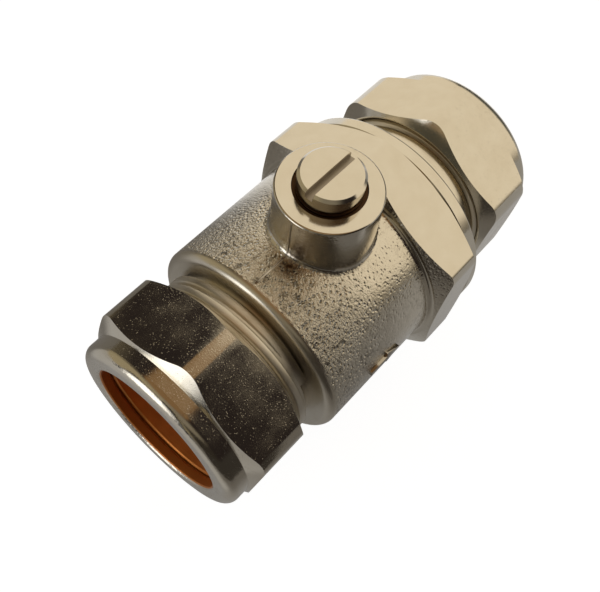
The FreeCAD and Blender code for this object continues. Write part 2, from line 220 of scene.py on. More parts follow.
def linear(hex_colour):
    """Linear RGBA of an sRGB hex colour."""
    values = [int(hex_colour[place:place + 2], 16) / 255 for place in (1, 3, 5)]
    steps = [value / 12.92 if value <= 0.04045 else ((value + 0.055) / 1.055) ** 2.4 for value in values]
    return (*steps, 1.0)


def add(tree, kind, settings, inputs):
    """Adds one node, sets its properties, and fills its inputs with values or with links from sockets."""
    node = tree.nodes.new(kind)
    for name, value in settings.items():
        setattr(node, name, value)
    for name, value in inputs.items():
        if isinstance(value, bpy.types.NodeSocket):
            tree.links.new(value, node.inputs[name])
        else:
            node.inputs[name].default_value = value
    return node


def new_material(name):
    """Empty node material with a Principled shader wired to its output."""
    material = bpy.data.materials.new(name)
    material.use_nodes = True
    tree = material.node_tree
    tree.nodes.clear()
    shader = add(tree, "ShaderNodeBsdfPrincipled", {}, {})
    add(tree, "ShaderNodeOutputMaterial", {}, {"Surface": shader.outputs["BSDF"]})
    return material, tree, shader


def give(material, *names):
    """Puts a material on the named solids."""
    for name in names:
        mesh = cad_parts[name].data
        mesh.materials.clear()
        mesh.materials.append(material)


def forged_zone(tree, place, axes, radius, sizes):
    """Share of the body's skin that the dies left rough: the barrel, the step face and, faintly, the boss."""
    skin = add(tree, "ShaderNodeMapRange", {}, {
        "Value": radius, "From Min": sizes.barrel_radius + 0.35 * MM,
        "From Max": sizes.barrel_radius + 0.1 * MM}).outputs[0]
    past_shoulder = add(tree, "ShaderNodeMapRange", {}, {
        "Value": axes["X"], "From Min": -0.5 * MM, "From Max": 0.15 * MM}).outputs[0]
    before_band = add(tree, "ShaderNodeMapRange", {}, {
        "Value": axes["X"], "From Min": 21.3 * MM, "From Max": 20.8 * MM}).outputs[0]
    barrel = add(tree, "ShaderNodeMath", TIMES, {0: past_shoulder, 1: before_band}).outputs[0]
    barrel = add(tree, "ShaderNodeMath", TIMES, {0: barrel, 1: skin}).outputs[0]

    from_stem = add(tree, "ShaderNodeVectorMath", {"operation": "SUBTRACT"}, {
        0: place, 1: (sizes.stem_place, 0, 0)}).outputs[0]
    level = add(tree, "ShaderNodeVectorMath", TIMES, {0: from_stem, 1: (1, 1, 0)}).outputs[0]
    reach = add(tree, "ShaderNodeVectorMath", LENGTH, {0: level}).outputs["Value"]
    boss = add(tree, "ShaderNodeMapRange", {}, {
        "Value": reach, "From Min": 8.9 * MM, "From Max": 8.3 * MM}).outputs[0]
    under_top = add(tree, "ShaderNodeMapRange", {}, {
        "Value": axes["Z"], "From Min": 25.05 * MM, "From Max": 24.9 * MM}).outputs[0]
    boss = add(tree, "ShaderNodeMath", TIMES, {0: boss, 1: under_top}).outputs[0]
    boss = add(tree, "ShaderNodeMath", TIMES, {0: boss, 1: 0.15}).outputs[0]

    # The step face and the near chamfer of the band lie before a cone that leans back 30 degrees.
    leant = add(tree, "ShaderNodeMath", TIMES_PLUS, {
        0: radius, 1: -math.tan(math.radians(30)), 2: axes["X"]}).outputs[0]
    step = add(tree, "ShaderNodeMapRange", {}, {
        "Value": leant, "From Min": 11.5 * MM, "From Max": 11.4 * MM}).outputs[0]
    off_spigot = add(tree, "ShaderNodeMapRange", {}, {
        "Value": axes["X"], "From Min": 20.6 * MM, "From Max": 21 * MM}).outputs[0]
    step = add(tree, "ShaderNodeMath", TIMES, {0: step, 1: off_spigot}).outputs[0]
    zone = add(tree, "ShaderNodeMath", LARGER, {0: barrel, 1: boss}).outputs[0]
    return add(tree, "ShaderNodeMath", LARGER, {0: zone, 1: step}).outputs[0]


def struck_skin(tree, place, axes, radius, normal):
    """Specks and nicks of a pressed nut, laid over the finer grain."""
    # Scale of the hot pressing, left as specks about 0.15 mm wide.
    specks = add(tree, "ShaderNodeTexVoronoi", {}, {
        "Vector": place, "Scale": 1 / (0.3 * MM), "Randomness": 1.0}).outputs["Distance"]
    bumps = add(tree, "ShaderNodeMapRange", SOFT, {
        "Value": specks, "From Min": 0.28, "From Max": 0.05}).outputs[0]
    some = add(tree, "ShaderNodeTexNoise", {}, {
        "Vector": place, "Scale": 1 / (0.7 * MM), "Detail": 1.0}).outputs["Fac"]
    some = add(tree, "ShaderNodeMapRange", {}, {
        "Value": some, "From Min": 0.35, "From Max": 0.65}).outputs[0]
    bumps = add(tree, "ShaderNodeMath", TIMES, {0: bumps, 1: some}).outputs[0]
    normal = add(tree, "ShaderNodeBump", {}, {
        "Height": bumps, "Strength": 0.42, "Distance": 0.03 * MM, "Normal": normal}).outputs["Normal"]

    # Nicks along the rim of the mouth, about 0.5 mm wide, from knocks in the bin.
    inlet_end = INLET_NUT_LOW[0]
    inlet_rim = add(tree, "ShaderNodeMapRange", {}, {
        "Value": axes["X"], "From Min": inlet_end + 1.1 * MM, "From Max": inlet_end + 0.2 * MM}).outputs[0]
    outlet_end = OUTLET_NUT_HIGH[0]
    outlet_rim = add(tree, "ShaderNodeMapRange", {}, {
        "Value": axes["X"], "From Min": outlet_end - 1.1 * MM, "From Max": outlet_end - 0.2 * MM}).outputs[0]
    rim = add(tree, "ShaderNodeMath", LARGER, {0: inlet_rim, 1: outlet_rim}).outputs[0]
    edge = add(tree, "ShaderNodeMapRange", SOFT, {
        "Value": radius, "From Min": 13.4 * MM, "From Max": 12.2 * MM,
        "To Min": 0.12, "To Max": 0.5}).outputs[0]
    rim = add(tree, "ShaderNodeMath", TIMES, {0: rim, 1: edge}).outputs[0]
    nicks = add(tree, "ShaderNodeTexNoise", {}, {
        "Vector": place, "Scale": 1 / (0.5 * MM), "Detail": 2.0, "Roughness": 0.6}).outputs["Fac"]
    return add(tree, "ShaderNodeBump", {}, {
        "Height": nicks, "Strength": rim, "Distance": 0.18 * MM, "Normal": normal}).outputs["Normal"]


def forged_residue(tree, place, grit, patches, strength, tone, colours):
    """Colour with brown flux at the foot of the boss, and dark specks that are dirt and also painted shade,
    darkest near the shoulder.
    """
    corner = (5.3 * MM, -1.6 * MM, 17.2 * MM)
    smear = add(tree, "ShaderNodeVectorMath", DISTANCE, {0: place, 1: corner}).outputs["Value"]
    near = add(tree, "ShaderNodeMapRange", {}, {
        "Value": smear, "From Min": 2.4 * MM, "From Max": 0.5 * MM, "To Max": 1.6}).outputs[0]
    broken = add(tree, "ShaderNodeMath", TIMES, {0: near, 1: grit}).outputs[0]
    tone = add(tree, "ShaderNodeMix", COLOUR, {0: broken, 6: tone, 7: linear(colours.stain_and_shade)}).outputs[2]
    # The grains are ragged and about 0.3 mm wide.
    ragged = add(tree, "ShaderNodeTexNoise", {}, {
        "Vector": place, "Scale": 1 / (0.8 * MM), "Detail": 3.0, "Roughness": 0.7}).outputs["Fac"]
    grains = add(tree, "ShaderNodeMapRange", SOFT, {
        "Value": ragged, "From Min": 0.52, "From Max": 0.6, "To Max": 0.75}).outputs[0]
    chance = add(tree, "ShaderNodeMapRange", {}, {
        "Value": patches, "From Min": 0.4, "From Max": 0.6}).outputs[0]
    grains = add(tree, "ShaderNodeMath", TIMES, {0: grains, 1: chance}).outputs[0]
    grains = add(tree, "ShaderNodeMath", TIMES, {0: grains, 1: strength}).outputs[0]
    # Dark specks, dirt and painted shade together, standing in partly for the dark flecks of the broken
    # reflection.
    return add(tree, "ShaderNodeMix", COLOUR, {0: grains, 6: tone, 7: linear(colours.grime_and_shade)}).outputs[2]


def forged_skin(context, tree, place, axes, radius, patches, normal, tone):
    """Normal, colour and roughness of the forged body, from those of plain plating."""
    zone = forged_zone(tree, place, axes, radius, context.scene.valve_sizes)
    # The dies wore smoother towards the band.
    worn = add(tree, "ShaderNodeMapRange", {}, {
        "Value": axes["X"], "From Min": 3 * MM, "From Max": 13 * MM,
        "To Min": 1.0, "To Max": 0.2}).outputs[0]
    strength = add(tree, "ShaderNodeMath", TIMES, {0: zone, 1: worn}).outputs[0]
    # Die grit of the forging: sand of about 0.4 mm, and small sharp pits about 0.65 mm apart.
    grit = add(tree, "ShaderNodeTexNoise", {}, {
        "Vector": place, "Scale": 1 / (0.4 * MM), "Detail": 3.0, "Roughness": 0.65}).outputs["Fac"]
    cells = add(tree, "ShaderNodeTexVoronoi", {}, {
        "Vector": place, "Scale": 1 / (0.65 * MM), "Randomness": 1.0}).outputs["Distance"]
    pits = add(tree, "ShaderNodeMapRange", SOFT, {
        "Value": cells, "From Min": 0.1, "From Max": 0.45}).outputs[0]
    rough_skin = add(tree, "ShaderNodeMath", TIMES_PLUS, {0: pits, 1: 0.7, 2: grit}).outputs[0]
    normal = add(tree, "ShaderNodeBump", {}, {
        "Height": rough_skin, "Strength": strength, "Distance": 0.22 * MM,
        "Normal": normal}).outputs["Normal"]
    tone = forged_residue(tree, place, grit, patches, strength, tone, context.scene.valve_colours)
    facets = add(tree, "ShaderNodeMapRange", {}, {"Value": zone, "To Min": 0.1, "To Max": 0.07}).outputs[0]
    gloss = add(tree, "ShaderNodeMath", TIMES_PLUS, {0: patches, 1: 0.08, 2: facets}).outputs[0]
    # The turned shoulder before the thread is duller than the rest.
    shoulder = add(tree, "ShaderNodeMapRange", {}, {
        "Value": axes["X"], "From Min": 0.8 * MM, "From Max": -0.4 * MM, "To Max": 0.16}).outputs[0]
    gloss = add(tree, "ShaderNodeMath", {"operation": "ADD"}, {0: gloss, 1: shoulder}).outputs[0]
    return normal, tone, gloss


def painted_slot_shade(tree, axes):
    """Share of painted shade, brown, in the screwdriver slot and in the gap around the stem's head."""
    top = STEM_HIGH[2]
    # Painted shade in the screwdriver slot.
    aside = add(tree, "ShaderNodeMath", UNSIGNED, {0: axes["Y"]}).outputs[0]
    between = add(tree, "ShaderNodeMapRange", {}, {
        "Value": aside, "From Min": 0.66 * MM, "From Max": 0.62 * MM}).outputs[0]
    under_head = add(tree, "ShaderNodeMapRange", {}, {
        "Value": axes["Z"], "From Min": top - 0.05 * MM, "From Max": top - 0.5 * MM}).outputs[0]
    over_floor = add(tree, "ShaderNodeMapRange", {}, {
        "Value": axes["Z"], "From Min": top - 1.2 * MM, "From Max": top - 1.18 * MM}).outputs[0]
    slot = add(tree, "ShaderNodeMath", TIMES, {0: between, 1: under_head}).outputs[0]
    slot = add(tree, "ShaderNodeMath", TIMES, {0: slot, 1: over_floor}).outputs[0]
    slot = add(tree, "ShaderNodeMath", TIMES, {0: slot, 1: 0.55}).outputs[0]
    boss_top = BODY_HIGH[2]
    # Painted shade in the gap between the stem and the top of the boss.
    gap = add(tree, "ShaderNodeMapRange", {}, {
        "Value": axes["Z"], "From Min": boss_top + 0.15 * MM, "From Max": boss_top - 0.1 * MM}).outputs[0]
    return add(tree, "ShaderNodeMath", LARGER, {0: slot, 1: gap}).outputs[0]


def nickel_plate(name, context, bare, plate, bare_inside=BARE_RADIUS, forged=False, struck=False,
                 slotted=False, dulling=0.0):
    """Bright nickel over brass.

    Plating thin enough to keep the surface under it: die-struck zones stay pitted like coarse sand and break
    the reflection into specks, machined zones mirror the room with a faint peel. Bores are left bare, and
    there the yellow-brown brass shows.
    """
    colours = context.scene.valve_colours
    material, tree, shader = new_material(name)
    place = add(tree, "ShaderNodeTexCoord", {}, {}).outputs["Object"]
    axes = add(tree, "ShaderNodeSeparateXYZ", {}, {"Vector": place}).outputs
    across = add(tree, "ShaderNodeVectorMath", TIMES, {0: place, 1: (0, 1, 1)}).outputs[0]
    radius = add(tree, "ShaderNodeVectorMath", LENGTH, {0: across}).outputs["Value"]

    # Handling marks: patches of about 4 mm that are a little duller.
    patches = add(tree, "ShaderNodeTexNoise", {}, {
        "Vector": place, "Scale": 1 / (4 * MM), "Detail": 3.0, "Roughness": 0.6}).outputs["Fac"]
    tone = add(tree, "ShaderNodeMix", COLOUR, {
        0: patches, 6: linear(colours.nickel), 7: linear(plate)}).outputs[2]
    # Grain of the plating, about 0.22 mm from crest to crest.
    peel = add(tree, "ShaderNodeTexNoise", {}, {
        "Vector": place, "Scale": 1 / (0.22 * MM), "Detail": 2.0, "Roughness": 0.6}).outputs["Fac"]
    normal = add(tree, "ShaderNodeBump", {}, {
        "Height": peel, "Strength": 0.2 if struck else 0.1, "Distance": 0.03 * MM}).outputs["Normal"]
    if struck:
        normal = struck_skin(tree, place, axes, radius, normal)
    if forged:
        normal, tone, gloss = forged_skin(context, tree, place, axes, radius, patches, normal, tone)
    else:
        gloss = add(tree, "ShaderNodeMapRange", {}, {
            "Value": patches, "From Min": 0.35, "From Max": 0.7, "To Min": 0.1, "To Max": 0.2}).outputs[0]
    if slotted:
        # Painted shade, brown, in the slot and in the gap around the stem's head; it also makes the plating
        # rougher there.
        slot_shade = painted_slot_shade(tree, axes)
        tone = add(tree, "ShaderNodeMix", COLOUR, {0: slot_shade, 6: tone, 7: linear(colours.stain_and_shade)}).outputs[2]
        gloss = add(tree, "ShaderNodeMath", TIMES_PLUS, {0: slot_shade, 1: 0.35, 2: gloss}).outputs[0]

    inside = add(tree, "ShaderNodeMapRange", {}, {
        "Value": radius, "From Min": bare_inside + 0.05 * MM, "From Max": bare_inside}).outputs[0]
    tone = add(tree, "ShaderNodeMix", COLOUR, {0: inside, 6: tone, 7: linear(bare)}).outputs[2]
    gloss = add(tree, "ShaderNodeMath", TIMES_PLUS, {0: inside, 1: 0.3, 2: gloss}).outputs[0]
    gloss = add(tree, "ShaderNodeMath", {"operation": "ADD"}, {0: gloss, 1: dulling}).outputs[0]
    # The oxide film of the bare bore scatters light, the plating doesn't.
    film = add(tree, "ShaderNodeMapRange", {}, {"Value": inside, "To Min": 1.0, "To Max": 0.7}).outputs[0]
    tree.links.new(tone, shader.inputs["Base Color"])
    tree.links.new(gloss, shader.inputs["Roughness"])
    tree.links.new(film, shader.inputs["Metallic"])
    tree.links.new(normal, shader.inputs["Normal"])
    return material


def soft_copper(context):
    """Turned copper of the olives: orange metal that its fine turning rings make glow inside the mouth."""
    colours = context.scene.valve_colours
    material, tree, shader = new_material("Soft turned copper")
    place = add(tree, "ShaderNodeTexCoord", {}, {}).outputs["Object"]
    # Turning rings run round the pipe, about 0.15 mm apart.
    lines = add(tree, "ShaderNodeMapping", {}, {"Vector": place, "Scale": (1, 0.02, 0.02)}).outputs[0]
    drawn = add(tree, "ShaderNodeTexNoise", {}, {
        "Vector": lines, "Scale": 1 / (0.15 * MM), "Detail": 2.0}).outputs["Fac"]
    browned = add(tree, "ShaderNodeTexNoise", {}, {
        "Vector": place, "Scale": 1 / (3 * MM), "Detail": 3.0}).outputs["Fac"]
    tone = add(tree, "ShaderNodeMix", COLOUR, {
        0: browned, 6: linear(colours.copper), 7: linear(colours.tarnish)}).outputs[2]
    bump = add(tree, "ShaderNodeBump", {}, {"Height": drawn, "Strength": 0.9, "Distance": 0.06 * MM})
    gloss = add(tree, "ShaderNodeMapRange", {}, {
        "Value": drawn, "From Min": 0.3, "From Max": 0.7, "To Min": 0.35, "To Max": 0.5}).outputs[0]
    tree.links.new(tone, shader.inputs["Base Color"])
    tree.links.new(gloss, shader.inputs["Roughness"])
    tree.links.new(bump.outputs["Normal"], shader.inputs["Normal"])
    shader.inputs["Metallic"].default_value = 0.65
    return material


def hard_chrome(context):
    """Chrome plating on the polished ball: a cold mirror with faint turning marks from the seats."""
    colours = context.scene.valve_colours
    material, tree, shader = new_material("Hard chrome on brass")
    place = add(tree, "ShaderNodeTexCoord", {}, {}).outputs["Object"]
    scuffs = add(tree, "ShaderNodeTexNoise", {}, {
        "Vector": place, "Scale": 1 / (1.2 * MM), "Detail": 4.0}).outputs["Fac"]
    gloss = add(tree, "ShaderNodeMapRange", {}, {
        "Value": scuffs, "From Min": 0.4, "From Max": 0.75, "To Min": 0.05, "To Max": 0.16}).outputs[0]
    tree.links.new(gloss, shader.inputs["Roughness"])
    shader.inputs["Base Color"].default_value = linear(colours.chrome)
    shader.inputs["Metallic"].default_value = 1.0
    return material


def seat_plastic(context):
    """Turned fluoropolymer of the seats and washer: waxy white that lets a little light in, no hard gloss."""
    colours = context.scene.valve_colours
    material, tree, shader = new_material("Turned PTFE")
    place = add(tree, "ShaderNodeTexCoord", {}, {}).outputs["Object"]
    cloud = add(tree, "ShaderNodeTexNoise", {}, {
        "Vector": place, "Scale": 1 / (1.5 * MM), "Detail": 2.0}).outputs["Fac"]
    tone = add(tree, "ShaderNodeMix", COLOUR, {
        0: cloud, 6: linear(colours.seat), 7: linear(colours.seat_cloud)}).outputs[2]
    tree.links.new(tone, shader.inputs["Base Color"])
    shader.inputs["Roughness"].default_value = 0.42
    shader.inputs["IOR"].default_value = 1.36
    return material


def seal_rubber(context):
    """Moulded rubber of the sealing rings: near black with a soft greasy sheen."""
    colours = context.scene.valve_colours
    material, tree, shader = new_material("Greased EPDM rubber")
    place = add(tree, "ShaderNodeTexCoord", {}, {}).outputs["Object"]
    grease = add(tree, "ShaderNodeTexNoise", {}, {
        "Vector": place, "Scale": 1 / (0.8 * MM), "Detail": 2.0}).outputs["Fac"]
    gloss = add(tree, "ShaderNodeMapRange", {}, {
        "Value": grease, "From Min": 0.35, "From Max": 0.65, "To Min": 0.3, "To Max": 0.55}).outputs[0]
    tree.links.new(gloss, shader.inputs["Roughness"])
    shader.inputs["Base Color"].default_value = linear(colours.rubber)
    shader.inputs["IOR"].default_value = 1.5
    return material


def carried(name, rings, body, material):
    """Closed skin over a profile carried along a path.

    rings is an array (steps, points, 3): the same closed profile at each step of the path. Neighbouring
    steps are joined by quads, and the first and last profile are closed by one face each.
    """
    steps, points, _ = rings.shape
    index = np.arange(steps * points).reshape(steps, points)
    following = np.roll(index, -1, axis=1)
    quads = np.stack([index[:-1], following[:-1], following[1:], index[1:]], axis=-1).reshape(-1, 4)
    faces = quads.tolist() + [index[0].tolist(), index[-1][::-1].tolist()]
    mesh = bpy.data.meshes.new(name)
    mesh.from_pydata(rings.reshape(-1, 3).tolist(), [], faces)
    shell = bmesh.new()
    shell.from_mesh(mesh)
    bmesh.ops.recalc_face_normals(shell, faces=shell.faces)
    shell.to_mesh(mesh)
    shell.free()
    mesh.polygons.foreach_set("use_smooth", np.ones(len(mesh.polygons), bool))
    mesh.set_sharp_from_angle(angle=math.radians(50))
    mesh.materials.append(material)
    piece = bpy.data.objects.new(name, mesh)
    bpy.context.scene.collection.objects.link(piece)
    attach(piece, body)


def screw_ridge(low, high, phase, pitch, outline, steps_per_turn=72):
    """Ridge of a right-hand screw thread about the pipe axis.

    For a turn angle a the ridge sits at x = phase + pitch (a - 90 degrees) / 360 degrees, and each outline
    point (w, r) of the profile goes to (x + w, r cos a, r sin a). At both ends the profile shrinks over a
    third of a turn into its first radius, so that the thread runs out into the plain cylinder.
    """
    first = (low - phase) / pitch * 2 * math.pi + math.pi / 2
    last = (high - phase) / pitch * 2 * math.pi + math.pi / 2
    angle = np.linspace(first, last, int((last - first) / (2 * math.pi) * steps_per_turn))
    run_out = np.minimum(angle - first, last - angle) / (2 * math.pi / 3)
    grown = np.clip(run_out, 0, 1)
    grown = grown * grown * (3 - 2 * grown)
    root = outline[0, 1]
    radius = root + (outline[None, :, 1] - root) * grown[:, None]
    x = phase + pitch * (angle - math.pi / 2)[:, None] / (2 * math.pi) + outline[None, :, 0]
    return np.stack([x, radius * np.cos(angle)[:, None], radius * np.sin(angle)[:, None]], axis=-1)


class VALVE_OT_plated_metal(bpy.types.Operator):
    """Gives the body, connector, stem and nuts their bright nickel plating"""

    bl_idname = "valve.plated_metal"
    bl_label = "Plate the brass"

    def execute(self, context):
        colours = context.scene.valve_colours
        dull = colours.dull_nickel
        give(nickel_plate("Nickel plate on forged brass", context, colours.brass, dull, forged=True),
             "valve_body")
        give(nickel_plate("Nickel plate on turned brass", context, colours.brass, dull), "end_connector")
        give(nickel_plate("Nickel plate on slotted stem", context, colours.brass, dull, slotted=True), "stem")
        give(nickel_plate("Nickel plate on nuts", context, colours.dark_brass, dull, struck=True),
             "inlet_nut", "outlet_nut")
        return {"FINISHED"}


class VALVE_OT_inner_pieces(bpy.types.Operator):
    """Gives the olives, ball, seats, washer and sealing rings their own materials"""

    bl_idname = "valve.inner_pieces"
    bl_label = "Finish the inner pieces"

    def execute(self, context):
        give(soft_copper(context), "inlet_olive", "outlet_olive")
        give(hard_chrome(context), "ball")
        give(seat_plastic(context), "inlet_seat", "outlet_seat", "stem_washer")
        give(seal_rubber(context), "lower_stem_seal", "upper_stem_seal", "connector_seal")
        return {"FINISHED"}


class VALVE_OT_spigot_threads(bpy.types.Operator):
    """Cuts the right-hand compression thread on both spigots"""

    bl_idname = "valve.spigot_threads"
    bl_label = "Thread the spigots"

    def execute(self, context):
        sizes = context.scene.valve_sizes
        pitch = sizes.thread_pitch
        height = sizes.thread_crest - sizes.thread_middle
        # Profile as (width in pitches, height in thread heights), with rounded crest corners.
        shape = np.array([[-0.45, -0.1], [-0.41, 0.1], [-0.33, 0.85], [-0.29, 0.96], [-0.22, 1.0],
                          [0.22, 1.0], [0.29, 0.96], [0.33, 0.85], [0.41, 0.1], [0.45, -0.1]])
        outline = np.stack([shape[:, 0] * pitch, sizes.thread_middle + shape[:, 1] * height], axis=-1)
        colours = context.scene.valve_colours
        material = nickel_plate("Nickel plate on thread", context, colours.brass, colours.dull_nickel,
                                dulling=0.2)
        inlet = screw_ridge(-11.6 * MM, -2.5 * MM, sizes.thread_phase, pitch, outline)
        carried("inlet_thread", inlet, "housing", material)
        outlet = screw_ridge(OUTLET_STOP + 5.6 * MM, OUTLET_STOP + 11.6 * MM, OUTLET_PHASE, pitch, outline)
        carried("outlet_thread", outlet, "housing", material)
        return {"FINISHED"}


class VALVE_OT_nut_threads(bpy.types.Operator):
    """Cuts the matching thread inside both nuts, half a pitch beside the spigot's"""

    bl_idname = "valve.nut_threads"
    bl_label = "Thread the nuts"

    def execute(self, context):
        sizes = context.scene.valve_sizes
        pitch = sizes.thread_pitch
        clearance = 0.08 * MM
        depth = sizes.nut_bore - sizes.thread_middle - clearance
        # Profile as (width in pitches, depth in thread depths) from the bore towards the axis.
        shape = np.array([[-0.2, -0.1], [-0.14, 0.05], [-0.05, 1.0], [0.05, 1.0], [0.14, 0.05], [0.2, -0.1]])
        outline = np.stack([shape[:, 0] * pitch, sizes.nut_bore - shape[:, 1] * depth], axis=-1)
        colours = context.scene.valve_colours
        beyond_nut = 20 * MM
        material = nickel_plate("Bare brass thread", context, colours.brass, colours.dull_nickel,
                                bare_inside=beyond_nut)
        inlet = screw_ridge(INLET_NUT_HIGH[0] - 8.1 * MM, INLET_NUT_HIGH[0] - 0.7 * MM,
                            sizes.thread_phase + pitch / 2, pitch, outline)
        carried("inlet_nut_thread", inlet, "inlet_nut", material)
        outlet = screw_ridge(OUTLET_NUT_LOW[0] + 0.7 * MM, OUTLET_NUT_LOW[0] + 8.1 * MM,
                             OUTLET_PHASE + pitch / 2, pitch, outline)
        carried("outlet_nut_thread", outlet, "outlet_nut", material)
        return {"FINISHED"}


class VALVE_OT_forging_marks(bpy.types.Operator):
    """Adds the thin parting seam of the forging dies and a plain raised flow arrow"""

    bl_idname = "valve.forging_marks"
    bl_label = "Add the forging marks"

    def execute(self, context):
        sizes = context.scene.valve_sizes
        colours = context.scene.valve_colours
        # The seam and the arrow take the brown residue colour in patches, a painted shade that makes them
        # read as dark marks.
        material = nickel_plate("Nickel plate on seam", context, colours.brass, colours.stain_and_shade)
        top = sizes.barrel_radius
        front = sizes.stem_place - sizes.boss_radius
        foot = sizes.boss_foot
        # Path in the plane of pipe and stem: along the barrel, round the hollow foot, up the boss.
        along = np.linspace(0.1 * MM, front - foot, 24)
        bend = np.linspace(0, math.pi / 2, 14)[1:]
        rise = np.linspace(top + foot, BODY_HIGH[2] - 0.35 * MM, 24)[1:]
        x = np.concatenate([along, front - foot + foot * np.sin(bend), np.full(rise.shape, front)])
        z = np.concatenate([np.full(along.shape, top), top + foot - foot * np.cos(bend), rise])
        out_x = np.concatenate([np.zeros(along.shape), -np.sin(bend), np.full(rise.shape, -1.0)])
        out_z = np.concatenate([np.ones(along.shape), np.cos(bend), np.zeros(rise.shape)])
        carried("front_parting_seam", self.seam(x, z, out_x, out_z, sizes),
                "housing", material)
        under = np.linspace(0.1 * MM, 20.3 * MM, 40)
        carried("lower_parting_seam",
                self.seam(under, np.full(under.shape, -top), 0 * under, 0 * under - 1, sizes),
                "housing", material)
        back = np.linspace(20.2 * MM, BODY_HIGH[2] - 0.35 * MM, 16)
        behind = sizes.stem_place + sizes.boss_radius
        carried("rear_parting_seam",
                self.seam(np.full(back.shape, behind), back, 0 * back + 1, 0 * back, sizes),
                "housing", material)
        carried("flow_arrow", self.arrow(sizes), "housing", material)
        return {"FINISHED"}

    @staticmethod
    def seam(x, z, out_x, out_z, sizes):
        """Low rounded ridge: at each path point the profile (y, h) goes to (x + h out_x, y, z + h out_z)."""
        shape = np.array([[-0.5, -0.6], [-0.36, 0.55], [-0.14, 0.95],
                          [0.14, 0.95], [0.36, 0.55], [0.5, -0.6]])
        y = np.broadcast_to(shape[None, :, 0] * sizes.seam_width, (len(x), len(shape)))
        ends = np.clip(np.minimum(np.arange(len(x)), np.arange(len(x))[::-1]) / 2, 0, 1)
        height = shape[None, :, 1] * sizes.seam_height * np.where(shape[None, :, 1] > 0, ends[:, None], 1.0)
        return np.stack([x[:, None] + height * out_x[:, None], y,
                         z[:, None] + height * out_z[:, None]], axis=-1)

    @staticmethod
    def arrow(sizes):
        """Raised arrow on the barrel's side, pointing along the flow.

        A step u along the pipe has a half width: narrow on the shaft, wide at the head's root, nothing at
        the tip. The profile goes across at that width, up to the arrow's height and down into the barrel.
        """
        place = np.array([0.0, 0.02, 0.3, 0.56, 0.561, 0.6, 0.8, 0.97, 1.0])
        half = np.array([0.4, 0.5, 0.5, 0.5, 1.35, 1.3, 0.7, 0.16, 0.05]) * MM
        shape = np.array([[-1.0, -0.5], [-0.97, 0.5], [-0.8, 0.95], [0.0, 1.0],
                          [0.8, 0.95], [0.97, 0.5], [1.0, -0.5]])
        radius = sizes.barrel_radius + shape[None, :, 1] * sizes.arrow_height
        low_on_side = math.radians(174)
        tail = 7.4 * MM
        turn = low_on_side + half[:, None] * shape[None, :, 0] / sizes.barrel_radius
        x = np.broadcast_to((tail + place * sizes.arrow_length)[:, None], turn.shape)
        return np.stack([x, radius * np.cos(turn), radius * np.sin(turn)], axis=-1)


